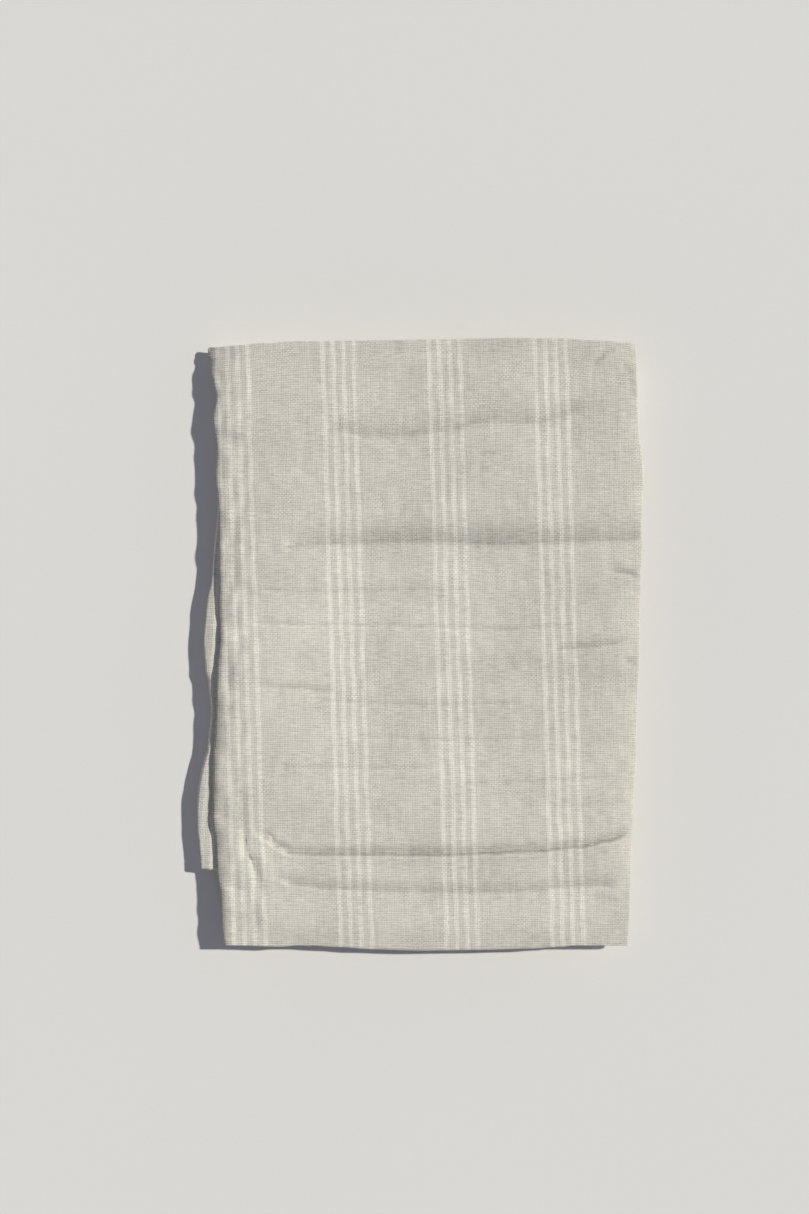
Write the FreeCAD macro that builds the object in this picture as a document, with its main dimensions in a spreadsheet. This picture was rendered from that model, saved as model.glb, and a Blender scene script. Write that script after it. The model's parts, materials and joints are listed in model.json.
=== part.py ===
import FreeCAD, Part
import math
import os

import Sketcher

# A woven baby wrap: one long gauze cloth, folded into a flat packet.
#
# The cloth is folded end to end, which makes two strands, then in thirds across its width, like a letter,
# and then back and forth along its length into seven sections. Each section therefore holds six layers of
# cloth: an outer and an inner strand, each one a letter-fold spiral. The sections open about their folds.
#
# Frame: +X across the packet, +Y along it, +Z up, origin at the bottom centre. Millimetres and degrees.

DRIVERS = {
    "cloth_width": 675,  # between the two long edges, laid flat
    "layer": 0.34,  # thickness of one layer of gauze
    "pitch": 0.4,  # from one layer to the next in the folded stack
    "packet_length": 335,
    "upper_width": 235,  # sections 6 and 7
    "lower_width": 230,  # sections 1 to 5
    "lower_shift": 2,  # the lower sections' middle, sideways from the upper sections' middle
    "lower_skew": 3,  # angle by which the lower sections lie askew
    "slanted_fold_y": 161.4,  # fold 5, which joins the lower sections to the upper ones
    "near_fold": 3,  # folds 1 and 3, back from fold 5
    "far_fold": 291,  # folds 2 and 4 and the tails, back from fold 5
    "crease_radius": 1,
    "crease_gap": 1.2,  # from a fold's axis to the layers that turn about it
    "overlock_width": 1,
    "overlock_inset": 0.03,  # the thread lies this much inside the layer's two faces
    "hem_depth": 8,
    "marker_reach": 8,
    "marker_length": 18,
    "marker_setback": 6,  # from the middle fold to the marker
    "tape": 0.6,
    "label_reach": 4,
    "label_length": 30,
    "label_setback": 60,  # from the tail's end to the label
    "label_tape": 0.5,
}

LOWER_SECTIONS = (1, 2, 3, 4, 5)
UPPER_SECTIONS = (6, 7)
TAIL_SECTION = 1
MIDDLE_SECTION = 7
SLANTED_FOLD = 5
# the layer of the six that each strand's panels lie in: smooth face, tucked third, flap
STRANDS = {"outer": (0, 3, 5), "inner": (1, 2, 4)}

DOC = FreeCAD.newDocument("baby_wrap")
SHEET = DOC.addObject("Spreadsheet::Sheet", "params")
PARTS = []


def fill_sheet():
    """Puts the driving dimensions in the spreadsheet, one alias to a row."""
    for row, (name, value) in enumerate(DRIVERS.items(), start=1):
        SHEET.set(f"A{row}", name)
        SHEET.set(f"B{row}", str(value))
        SHEET.setAlias(f"B{row}", name)
    DOC.recompute()


def number(expression):
    """The value of an expression of the driving dimensions."""
    result = SHEET.evalExpression(expression)
    return float(getattr(result, "Value", result))


# ---- sizes of a section, as expressions of the sheet

SECTION_PITCH = "6 * params.pitch"
SECTION_HEIGHT = "(5 * params.pitch + params.layer)"
AXIS_HEIGHT = "(params.pitch - params.layer) / 2"  # a fold's axis, below the next section's underside
SLANT = "params.lower_skew / 2"


def width_of(section):
    return "params.lower_width" if section in LOWER_SECTIONS else "params.upper_width"


def inset_of(section):
    """How far the two long edges stop short of the section's sides."""
    return f"((3 * {width_of(section)} - params.cloth_width) / 2)"


def half_drop_of(section):
    """Half of what a slanted end falls back across the section's width."""
    return f"({width_of(section)} / 2 * tan({SLANT} * 1 deg))"


def ends_of(section):
    """The section's two ends along its own frame, as expressions."""
    slanted_gap = f"params.crease_gap / cos({SLANT} * 1 deg)"
    if section == 1:
        return "-params.far_fold", "-params.near_fold - params.crease_gap"
    if section in (2, 3, 4):
        return (
            "-params.far_fold + params.crease_gap",
            "-params.near_fold - params.crease_gap",
        )
    if section == 5:
        shifted_drop = f"params.lower_shift * tan({SLANT} * 1 deg)"
        return (
            "-params.far_fold + params.crease_gap",
            f"{shifted_drop} + {half_drop_of(5)} - {slanted_gap}",
        )
    start = "params.crease_radius + params.crease_gap - params.packet_length / 2"
    if section == 6:
        return start, f"params.slanted_fold_y + {half_drop_of(6)} - {slanted_gap}"
    return start, "params.packet_length / 2"


# ---- where things lie


def upper_centre():
    """X of the upper sections' middle: the askew lower sections reach further left than they do."""
    skew = math.radians(number("params.lower_skew"))
    left = number("params.lower_width / 2 - params.lower_shift")
    back = number("params.far_fold + params.crease_radius")
    lower_reach = left * math.cos(skew) + back * math.sin(skew)
    return (lower_reach - number("params.upper_width / 2")) / 2


def frame_of(section):
    """The placement of a section's own frame: its X middle, and Y measured as in ends_of."""
    if section in UPPER_SECTIONS:
        return FreeCAD.Placement(FreeCAD.Vector(upper_centre(), 0, 0), FreeCAD.Rotation())
    turn = FreeCAD.Rotation(FreeCAD.Vector(0, 0, 1), -number("params.lower_skew"))
    corner = FreeCAD.Vector(upper_centre(), number("params.slanted_fold_y"), 0)
    shift = turn.multVec(FreeCAD.Vector(number("params.lower_shift"), 0, 0))
    return FreeCAD.Placement(corner + shift, turn)


def section_placement(section, y_from=None):
    """Places a section's piece that is drawn from y = 0 with its smooth face at z = 0.
    Odd sections lie smooth face up, so they are turned over about X and drawn from their +Y end."""
    first, last = ends_of(section)
    base = (section - 1) * number(SECTION_PITCH)
    along = 0 if y_from is None else number(y_from)
    if section % 2:
        spot = FreeCAD.Vector(0, number(last) - along, base + number(SECTION_HEIGHT))
        turn = FreeCAD.Rotation(FreeCAD.Vector(1, 0, 0), 180)
    else:
        spot = FreeCAD.Vector(0, number(first) + along, base)
        turn = FreeCAD.Rotation()
    return frame_of(section).multiply(FreeCAD.Placement(spot, turn))


def axis_height(fold):
    """Z of a fold's axis, midway between the two sections that it joins."""
    return fold * number(SECTION_PITCH) - number(AXIS_HEIGHT)


def fold_frame(fold):
    """A frame at the middle of a fold, with X along its axis and Y pointing out of the packet."""
    up = FreeCAD.Vector(0, 0, 1)
    if fold == 6:
        spot = FreeCAD.Vector(0, number("params.crease_radius - params.packet_length / 2"), 0)
        place = frame_of(6).multiply(FreeCAD.Placement(spot, FreeCAD.Rotation(up, 180)))
    elif fold == SLANTED_FOLD:
        spot = FreeCAD.Vector(upper_centre(), number("params.slanted_fold_y"), 0)
        place = FreeCAD.Placement(spot, FreeCAD.Rotation(up, -number(SLANT)))
    else:
        near = fold % 2 == 1
        back = number("params.near_fold") if near else number("params.far_fold")
        turn = FreeCAD.Rotation(up, 0 if near else 180)
        place = frame_of(fold).multiply(FreeCAD.Placement(FreeCAD.Vector(0, -back, 0), turn))
    place.Base.z = axis_height(fold)
    return place


# ---- drawing


def origin_plane(body, role):
    return next(item for item in body.Origin.OriginFeatures if item.Role == role)


def new_sketch(body, role, name):
    sketch = body.newObject("Sketcher::SketchObject", name)
    sketch.AttachmentSupport = [(origin_plane(body, role), "")]
    sketch.MapMode = "FlatFace"
    return sketch


def draw_outline(sketch, corners, arcs):
    """A closed outline through corners, which are pairs of expressions. Each side is a straight line, or
    an arc where arcs names the side's number: (expression of the centre's x, expression of its y, unit
    vector from the centre to the arc's middle)."""
    points = [FreeCAD.Vector(number(x), number(y), 0) for x, y in corners]
    sides = []
    for side, point in enumerate(points):
        following = points[(side + 1) % len(points)]
        if side in arcs:
            centre_x, centre_y, towards_middle = arcs[side]
            centre = FreeCAD.Vector(number(centre_x), number(centre_y), 0)
            outward = FreeCAD.Vector(*towards_middle) * (point - centre).Length
            shape = Part.Arc(point, centre + outward, following)
        else:
            shape = Part.LineSegment(point, following)
        sides.append(sketch.addGeometry(shape, False))
    for side, (x, y) in enumerate(corners):
        join = Sketcher.Constraint("Coincident", sides[side - 1], 2, sides[side], 1)
        sketch.addConstraint(join)
        pin(sketch, "DistanceX", sides[side], 1, x)
        pin(sketch, "DistanceY", sides[side], 1, y)
        if side in arcs:
            pin(sketch, "DistanceX", sides[side], 3, arcs[side][0])


def pin(sketch, kind, side, point, expression):
    """Fixes one coordinate of a point of a sketch to an expression of the sheet."""
    at = sketch.addConstraint(Sketcher.Constraint(kind, -1, 1, side, point, number(expression)))
    sketch.setExpression(f"Constraints[{at}]", expression)


def pad(body, sketch, name, length, both_ways=False, backwards=False):
    feature = body.newObject("PartDesign::Pad", name)
    feature.Profile = sketch
    feature.setExpression("Length", length)
    feature.Midplane = both_ways
    feature.Reversed = backwards
    return feature


def keep(label, piece, placement):
    """Names a finished piece, puts it in place and lists it for export."""
    piece.Label = label
    piece.Placement = placement
    PARTS.append(piece)


# ---- the cloth


def spiral_corners(section, strand):
    """The letter-fold section of one strand, smooth face at the bottom: (corners, arcs).
    The flap's long edge is near the right side, and the tucked third's is near the left side."""
    low, tucked, flap = STRANDS[strand]
    depth = f"{low} * ({SECTION_HEIGHT} / 2 + params.pitch - params.layer)"
    half = f"{width_of(section)} / 2"
    inset = inset_of(section)
    floor = f"{low} * params.pitch"
    floor_top = f"{floor} + params.layer"
    tuck = f"{tucked} * params.pitch"
    tuck_top = f"{tuck} + params.layer"
    lid = f"{flap} * params.pitch"
    lid_top = f"{lid} + params.layer"
    left = f"-{half} + ({lid_top} - {floor}) / 2 + {depth}"
    right = f"{half} - ({tuck_top} - {floor}) / 2 - {depth}"
    flap_end = f"{half} - {inset}"
    tuck_end = f"-{half} + {inset}"
    corners = [
        (flap_end, lid_top),
        (left, lid_top),
        (left, floor),
        (right, floor),
        (right, tuck_top),
        (tuck_end, tuck_top),
        (tuck_end, tuck),
        (right, tuck),
        (right, floor_top),
        (left, floor_top),
        (left, lid),
        (flap_end, lid),
    ]
    arcs = {
        1: (left, f"({lid_top} + {floor}) / 2", (-1, 0, 0)),
        3: (right, f"({tuck_top} + {floor}) / 2", (1, 0, 0)),
    }
    return corners, arcs


def strand_solid(name, section, strand, length):
    """One strand's letter-fold spiral, padded along +Y from y = 0."""
    body = DOC.addObject("PartDesign::Body", name)
    sketch = new_sketch(body, "XZ_Plane", f"{name}_spiral")
    draw_outline(sketch, *spiral_corners(section, strand))
    pad(body, sketch, f"{name}_length", length, backwards=True)
    return body


def trim_slanted_end(body, section, from_start):
    """Cuts a strand's end back to the slanted fold, leaving one corner where it is."""
    half = f"{width_of(section)} / 2"
    fall = f"2 * {half_drop_of(section)}"
    length = length_of(section)
    end, kept, cut = ("0", half, f"-{half}") if from_start else (length, f"-{half}", half)
    inner = fall if from_start else f"{length} - {fall}"
    sketch = new_sketch(body, "XY_Plane", f"{body.Name}_slant")
    corners = [(kept, end), (cut, end), (cut, inner)]
    draw_outline(sketch, corners, {})
    pocket = body.newObject("PartDesign::Pocket", f"{body.Name}_trim")
    pocket.Profile = sketch
    pocket.Type = "ThroughAll"
    pocket.Midplane = True


def length_of(section):
    first, last = ends_of(section)
    return f"({last} - ({first}))"


def make_cloth(section):
    """The two strands of one section."""
    for strand in STRANDS:
        name = f"section_{section}_{strand}_cloth"
        length = length_of(section)
        if section == TAIL_SECTION:
            length = f"{length} - params.hem_depth"
        body = strand_solid(name, section, strand, length)
        if section in (SLANTED_FOLD, SLANTED_FOLD + 1):
            trim_slanted_end(body, section, from_start=section == SLANTED_FOLD)
        keep(name, body, section_placement(section))


def make_tail_hems():
    """The hemmed end of each strand, at the far end of the bottom section."""
    start = f"{length_of(TAIL_SECTION)} - params.hem_depth"
    for strand in STRANDS:
        name = f"{strand}_tail_hem"
        body = strand_solid(name, TAIL_SECTION, strand, "params.hem_depth")
        keep(name, body, section_placement(TAIL_SECTION, start))


def make_crease(fold):
    """The turn of the cloth at a fold: a round nose on the fold's axis, with a web to its lower section."""
    name = f"fold_crease_{fold}"
    body = DOC.addObject("PartDesign::Body", name)
    sketch = new_sketch(body, "YZ_Plane", f"{name}_nose")
    radius = "params.crease_radius"
    corners = [
        ("-params.crease_gap", f"-{radius}"),
        ("0", f"-{radius}"),
        (f"-{radius}", "0"),
        ("-params.crease_gap", "0"),
    ]
    outward = (math.sqrt(0.5), math.sqrt(0.5), 0)
    draw_outline(sketch, corners, {1: ("0", "0", outward)})
    pad(body, sketch, f"{name}_width", width_of(fold), both_ways=True)
    keep(name, body, fold_frame(fold))


# ---- what is sewn to the cloth


def strip(name, x, y, z, sizes):
    """A straight strip of thread or tape, its low corner and sizes as expressions."""
    box = DOC.addObject("Part::Box", name)
    for prop, expression in zip(("Length", "Width", "Height"), sizes):
        box.setExpression(prop, expression)
    for prop, expression in zip("xyz", (x, y, z)):
        box.setExpression(f"Placement.Base.{prop}", expression)
    return box


def rail_ends(section):
    """X of the flap's long edge and of the tucked third's long edge."""
    half = f"{width_of(section)} / 2"
    return f"{half} - {inset_of(section)}", f"-{half} + {inset_of(section)}"


def make_overlock(section):
    """The thread over the four long edges of a section: flap and tucked third of both strands."""
    flap_end, tuck_end = rail_ends(section)
    clear = f"2 * {half_drop_of(section)}"
    name = f"section_{section}_rail_overlock"
    threads = []
    for strand, (_, tucked, flap) in STRANDS.items():
        edges = {
            "flap": (flap_end, flap),
            "tuck": (f"{tuck_end} - params.overlock_width", tucked),
        }
        for edge, (x, layer) in edges.items():
            z = f"{layer} * params.pitch + params.overlock_inset"
            height = "params.layer - 2 * params.overlock_inset"
            length = f"{length_of(section)} - 2 * {clear}"
            sizes = ("params.overlock_width", length, height)
            threads.append(strip(f"{name}_{strand}_{edge}", x, clear, z, sizes))
    group = DOC.addObject("Part::Compound", name)
    group.Links = threads
    keep(name, group, section_placement(section))


def make_middle_markers():
    """A short loop of tape on each long edge, beside the middle fold."""
    flap_end, tuck_end = rail_ends(MIDDLE_SECTION)
    spots = {
        "flap": (f"{flap_end} + params.overlock_width", 4),
        "tucked": (f"{tuck_end} - params.overlock_width - params.marker_reach", 2),
    }
    for edge, (x, layer) in spots.items():
        z = f"{layer} * params.pitch + (params.pitch + params.layer - params.tape) / 2"
        sizes = ("params.marker_reach", "params.marker_length", "params.tape")
        name = f"middle_marker_{edge}_rail"
        tape = strip(f"{name}_tape", x, "params.marker_setback", z, sizes)
        group = DOC.addObject("Part::Compound", name)
        group.Links = [tape]
        keep(name, group, section_placement(MIDDLE_SECTION))


def make_care_label():
    """A blank label on the tucked third's long edge, near the tails."""
    _, tuck_end = rail_ends(TAIL_SECTION)
    x = f"{tuck_end} - params.overlock_width - params.label_reach"
    y = f"{length_of(TAIL_SECTION)} - params.label_setback - params.label_length"
    z = "2 * params.pitch + (params.pitch + params.layer - params.label_tape) / 2"
    sizes = ("params.label_reach", "params.label_length", "params.label_tape")
    tape = strip("care_label_tape", x, y, z, sizes)
    group = DOC.addObject("Part::Compound", "care_label")
    group.Links = [tape]
    keep("care_label", group, section_placement(TAIL_SECTION))


def check_and_export():
    """Stops on a failed object or an unsound shape, and otherwise writes one STEP file per piece."""
    DOC.recompute()
    for item in DOC.Objects:
        if {"Invalid", "Error"} & set(item.State):
            raise RuntimeError(f"{item.Name} failed: {item.State}")
    for piece in PARTS:
        if piece.Shape.isNull() or not piece.Shape.isValid():
            raise RuntimeError(f"{piece.Label} has no valid shape")
        if not piece.Shape.Solids:
            raise RuntimeError(f"{piece.Label} has no solid")
    os.makedirs("parts", exist_ok=True)
    for piece in PARTS:
        piece.Shape.exportStep(f"parts/{piece.Label}.step")


def print_facts():
    """The numbers that the record repeats: each fold's axis, and the whole packet's box."""
    whole = FreeCAD.BoundBox()
    for piece in PARTS:
        whole.add(piece.Shape.BoundBox)
    print(f"{len(PARTS)} pieces, box {whole}")
    for fold in range(1, 7):
        place = fold_frame(fold)
        along = place.Rotation.multVec(FreeCAD.Vector(1, 0, 0))
        print(f"fold {fold} at {tuple(place.Base)} opens about {tuple(-along)}")


fill_sheet()
for section in LOWER_SECTIONS + UPPER_SECTIONS:
    make_cloth(section)
    make_overlock(section)
for fold in range(1, 7):
    make_crease(fold)
make_tail_hems()
make_middle_markers()
make_care_label()
check_and_export()
print_facts()
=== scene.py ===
import json
import math

import bpy
import numpy as np
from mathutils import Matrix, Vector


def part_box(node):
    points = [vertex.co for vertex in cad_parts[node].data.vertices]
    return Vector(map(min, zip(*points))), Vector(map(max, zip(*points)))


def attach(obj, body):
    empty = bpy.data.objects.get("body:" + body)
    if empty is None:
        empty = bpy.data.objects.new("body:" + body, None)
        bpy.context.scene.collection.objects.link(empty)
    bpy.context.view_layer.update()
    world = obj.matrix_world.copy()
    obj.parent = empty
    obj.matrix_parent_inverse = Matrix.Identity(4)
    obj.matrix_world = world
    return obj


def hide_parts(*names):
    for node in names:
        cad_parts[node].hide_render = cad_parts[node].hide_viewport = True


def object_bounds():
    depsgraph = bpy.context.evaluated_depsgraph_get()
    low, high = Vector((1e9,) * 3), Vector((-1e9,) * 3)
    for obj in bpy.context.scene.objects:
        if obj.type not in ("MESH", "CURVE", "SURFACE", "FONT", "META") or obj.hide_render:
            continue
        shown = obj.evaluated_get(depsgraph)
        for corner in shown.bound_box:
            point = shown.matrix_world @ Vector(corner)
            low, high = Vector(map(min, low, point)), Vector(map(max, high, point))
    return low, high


# A baby wrap of striped gauze, folded into a flat packet of seven sections, lying on a pale floor.
#
# Each section holds two strands of cloth, an outer and an inner one, and each strand is a letter-fold
# spiral of three layers. A strand's mesh follows the whole spiral across the cloth, and turns about the
# axes of the section's folds at its two ends, so a fold stays closed while it opens. Metres throughout.

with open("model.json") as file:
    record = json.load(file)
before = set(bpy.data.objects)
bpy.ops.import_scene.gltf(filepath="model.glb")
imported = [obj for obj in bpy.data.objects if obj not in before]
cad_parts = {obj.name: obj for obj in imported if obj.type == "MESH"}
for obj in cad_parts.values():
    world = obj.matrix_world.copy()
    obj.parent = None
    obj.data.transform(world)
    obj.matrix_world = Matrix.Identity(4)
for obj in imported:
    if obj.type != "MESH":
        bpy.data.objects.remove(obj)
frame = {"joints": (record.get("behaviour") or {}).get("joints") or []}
CAD_BOX = [list(corner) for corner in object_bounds()]
MM = 0.001

# ---- the cloth, as it is cut and folded

CLOTH_WIDTH = 0.675
LAYER = 0.34 * MM
PITCH = 0.4 * MM
SECTION_HEIGHT = 5 * PITCH + LAYER
SECTION_PITCH = 6 * PITCH
HEM_DEPTH = 8 * MM
OVERLOCK_WIDTH = 1 * MM
# the layer of the six that each strand's panels lie in: smooth face, tucked third, flap
STRANDS = {"outer": (0, 3, 5), "inner": (1, 2, 4)}
LOWER_SECTIONS = (1, 2, 3, 4, 5)
SECTIONS = (1, 2, 3, 4, 5, 6, 7)
TOP_LOW, TOP_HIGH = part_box("section_7_outer_cloth")
UPPER_HALF = 0.5 * (TOP_HIGH.x - TOP_LOW.x)
LOWER_HALF = UPPER_HALF - 2.5 * MM
PACKET_TOP = CAD_BOX[1][2]
MIDDLE_FOLD_Y = TOP_HIGH.y

BEND_STEPS = 8
FOLD_STEPS = 7
FOLD_REACH = 0.75  # how far a fold's nose stands out, as a share of its half height
TIGHT_REACH = 1.1  # the same, for the layers next to the fold's axis
TIGHT_RADII = (0.3 * MM, 0.9 * MM)  # from the axis: where one reach gives way to the other
TUCK_PAST = math.radians(7)  # how far a lower section's cloth runs on inside its fold's nose
TUCK_SIZE = 0.98  # of the turn there, so that the tucked cloth keeps clear of its neighbour
COARSE = 5 * MM  # mesh steps of the lower sections
HIDDEN = 9 * MM  # of the top section's inner panels
FINE = 2 * MM  # of its smooth face
FINEST = 0.8 * MM  # of the rows at its creases
GAUZE_THICKNESS = 0.3 * MM


def smooth(low, high, value):
    share = np.clip((value - low) / (high - low), 0, 1)
    return share * share * (3 - 2 * share)


def along(points, value):
    """A smooth curve through a few given (place, height) pairs in millimetres, in metres."""
    places = np.array([p for p, _ in points]) * MM
    heights = np.array([h for _, h in points]) * MM
    spot = np.clip(value, places[0], places[-1])
    after = np.clip(np.searchsorted(places, spot), 1, len(places) - 1)
    share = (spot - places[after - 1]) / (places[after] - places[after - 1])
    share = share * share * (3 - 2 * share)
    return heights[after - 1] * (1 - share) + heights[after] * share


def waves(x, y, seed, shortest, longest, stretch=1.0, count=9):
    """Seeded waves in many directions, about -1 to 1; stretch lengthens them along x."""
    draw = np.random.default_rng(seed)
    total = np.zeros(np.shape(x))
    for _ in range(count):
        turn = draw.uniform(0, math.tau)
        length = math.exp(draw.uniform(math.log(shortest), math.log(longest)))
        phase = draw.uniform(0, math.tau)
        total += np.sin(math.tau * (x / stretch * math.cos(turn) + y * math.sin(turn)) / length + phase)
    return total / math.sqrt(2 * count)


def layer_height(layer):
    """How far the middle of a layer is above the section's smooth face."""
    return layer * PITCH + LAYER / 2


# ---- where the sections and folds lie

NEAR_FOLDS = {1: 1, 2: 1, 3: 3, 4: 3, 5: 5, 6: 5}
FAR_FOLDS = {2: 2, 3: 2, 4: 4, 5: 4, 6: 6, 7: 6}
WIDENING = (-70 * MM, -4 * MM)  # before fold 5: where section 5 grows as wide as those above it
FOLDS = {}
for joint in frame["joints"]:
    spot, axis = np.array(joint["pos_m"]), np.array(joint["axis"])
    FOLDS[int(joint["name"][-1])] = (spot, axis / np.linalg.norm(axis))


class Section:
    """One section: its own frame, its two ends, and which way up it lies."""

    def __init__(self, number):
        self.number = number
        self.lower = number in LOWER_SECTIONS
        self.half = LOWER_HALF if self.lower else UPPER_HALF
        guide, axis = FOLDS[1] if self.lower else FOLDS[6]
        self.across = -axis[:2] if self.lower else axis[:2]
        self.forward = np.array([-self.across[1], self.across[0]])
        self.middle = guide[:2]
        self.inset = (3 * 2 * self.half - CLOTH_WIDTH) / 2
        self.base = (number - 1) * SECTION_PITCH
        self.smooth_up = number % 2 == 1
        self.near_fold, self.far_fold = NEAR_FOLDS.get(number), FAR_FOLDS.get(number)

    def end_line(self, near):
        """A point of the section's end line and its direction, in plan."""
        fold = self.near_fold if near else self.far_fold
        if fold:
            return FOLDS[fold][0][:2], FOLDS[fold][1][:2]
        if near:
            return np.array([self.middle[0], MIDDLE_FOLD_Y - FINEST / 4]), np.array([1.0, 0.0])
        return FOLDS[2][0][:2], FOLDS[2][1][:2]

    def reach(self, s, near):
        """How far forward of the section's middle the end line is, at s across it."""
        spot, axis = self.end_line(near)
        start = self.middle[None, :] + np.asarray(s)[:, None] * self.across
        gap = spot - start
        cross = self.forward[0] * axis[1] - self.forward[1] * axis[0]
        return (gap[:, 0] * axis[1] - gap[:, 1] * axis[0]) / cross

    def middle_reach(self, near):
        """The same at the section's middle."""
        return self.reach(np.zeros(1), near)[0]

    def outward(self, near):
        """The direction in plan in which the fold at that end points."""
        _, axis = self.end_line(near)
        out = np.array([-axis[1], axis[0]])
        return out if (out @ self.forward > 0) == near else -out

    def height(self, h):
        """Z of a layer h above the section's smooth face."""
        return self.base + (SECTION_HEIGHT - h if self.smooth_up else h)

    def side_shift(self, s, t):
        """Section 5 widens towards fold 5, where it becomes as wide as the sections above it."""
        if self.number != 5:
            return np.zeros(np.shape(s * t))
        upper = (FOLDS[5][0][:2] - self.middle) @ self.across
        target = upper + s / self.half * UPPER_HALF
        return (target - s) * smooth(*WIDENING, t - self.middle_reach(True))


PACKET = {number: Section(number) for number in SECTIONS}

# ---- how the real packet strays from straight folds: (place, outward millimetres)

UPPER_LEFT = [(-168, -5.2), (-158, -3.9), (-142, -3.3), (-125, -1.1), (-113, -0.5), (-94, 1.4), (-61, 0.9),
              (-47, -0.3), (-14, -1.1), (5, -2.7), (25, -2.1), (69, -2.1), (98, -0.5), (111, -0.8),
              (127, 1.2), (141, -0.7), (147, 0.9), (157, 2.8), (160, 2.3), (164, 4.6), (168, 3.4)]
UPPER_RIGHT = [(-168, -5.4), (-147, -4.5), (-119, -3.4), (-105, -2.8), (-86, -2.2), (-58, -0.6), (-25, 0.1),
               (-9, 1.1), (3, 1.1), (37, 1.6), (55, 2.7), (65, 2.2), (82, 2.8), (96, 3.9), (120, 0.5),
               (142, 0), (160, -0.4), (168, -1.0)]
UPPER_NEAR = [(-118, -2.2), (-95, -0.7), (-86, 0.4), (-65, 1.5), (-43, 1.8), (13, 2.7), (57, 3.3), (80, 3.0),
              (102, 1.8), (118, 0.8), (123, -0.6)]
UPPER_FAR = [(-107, -1.8), (-103, -2.3), (-95, -1.2), (-77, -0.6), (-63, -1.8), (-43, -0.4), (-26, 0.8),
             (2, 1.6), (35, 1.2), (63, 0.5), (80, -0.6), (93, -2.5), (107, -4.2), (118, -3.4), (124, -3.2)]
LOWER_LEFT = [(-126, -2.8), (-120, -2.0), (-113, -1.0), (-102, 0.9), (-86, 1.8), (-77, 1.3), (-69, 0.2),
              (-58, -2.2), (-36, -3.2), (-22, -1.2), (-13, 0.9), (2, 2.6), (22, 1.8), (40, -0.4), (81, -1.6),
              (120, -0.5)]
LOWER_RIGHT = [(-136, -1.0), (-90, 0.6), (-40, -0.8), (10, 0.5), (60, -0.5), (120, 0)]
SIDE_REACH = 45 * MM  # how far in from a side its straying is felt
NOSE_SPAN = 1.5 * MM  # most that a fold's nose alone takes up of its straying
NOSE_WAVE = 0.5 * MM  # height of the waves of folds 1 to 5
FAR_SPAN = 0.7 * MM  # most that fold 6 as a whole stands out
LOWER_SWAY, UPPER_SWAY = 1.0 * MM, 0.3 * MM  # waves of the sides that a section has to itself

# relief of the top: seed, shortest and longest wave, stretch along x, number of waves, height
BROAD_RELIEF = (7, 0.045, 0.13, 1.6, 9, 0.8 * MM)
FINE_RELIEF = (21, 0.009, 0.026, 3.2, 16, 0.15 * MM)
CROSS_RELIEF = (22, 0.010, 0.030, 0.45, 12, 0.13 * MM)
CRUMPLED_BAND = (23, 0.009, 0.024, 1.0, 10, 0.8 * MM)
DEEPEST = 1.8 * MM  # of the pressed-in creases
RIM_DROP = 2.0 * MM  # how far the sides sink, and how suddenly
RIM_POWER = 14
END_DROP = 1.3 * MM  # how far the middle fold sinks
TOP_CALM, LOWER_CALM = 0.35, 0.85  # how much of the relief the middle fold takes away
CORNER, CORNER_SIZE = (-0.116, 0.166), (15 * MM, 13 * MM)
CORNER_PRESS = 0.35  # share of its height that the corner loses
FOLD_PINCH = 0.15  # how much closer the layers lie at fold 6
# painted shade along the left edge, which turns away from the sun: how dark, and where
LEFT_EDGE_PAINTED_SHADE = 2.1
LEFT_EDGE_SHADE_SPAN = (-0.960, -0.995)  # shares of the half width

# places where something comes in, from nothing to all: x of the crumpled band, then y
BAND_SPAN = (-0.088, -0.108)
TOWARDS_FOLD_6 = (-0.1, -0.163)
TOWARDS_MIDDLE_FOLD = (0.1, MIDDLE_FOLD_Y - 4 * MM)
SHARED_SIDES = (0.08, 0.14)  # nearer than this all the sections' sides stray alike
SWAY_NEAR, SWAY_FAR = (0.15, 0.11), (-0.122, -0.08)
RIM_FADE = (-0.12, -0.16)
END_SPAN = (0.152, 0.170)
NEAR_CALM = (0.135, 0.158)
LOWER_RISE, UPPER_RISE = (-0.130, -0.112), (-0.1665, -0.152)  # the relief, beyond the far folds
PINCH_SPAN = (-0.154, -0.1665)

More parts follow.
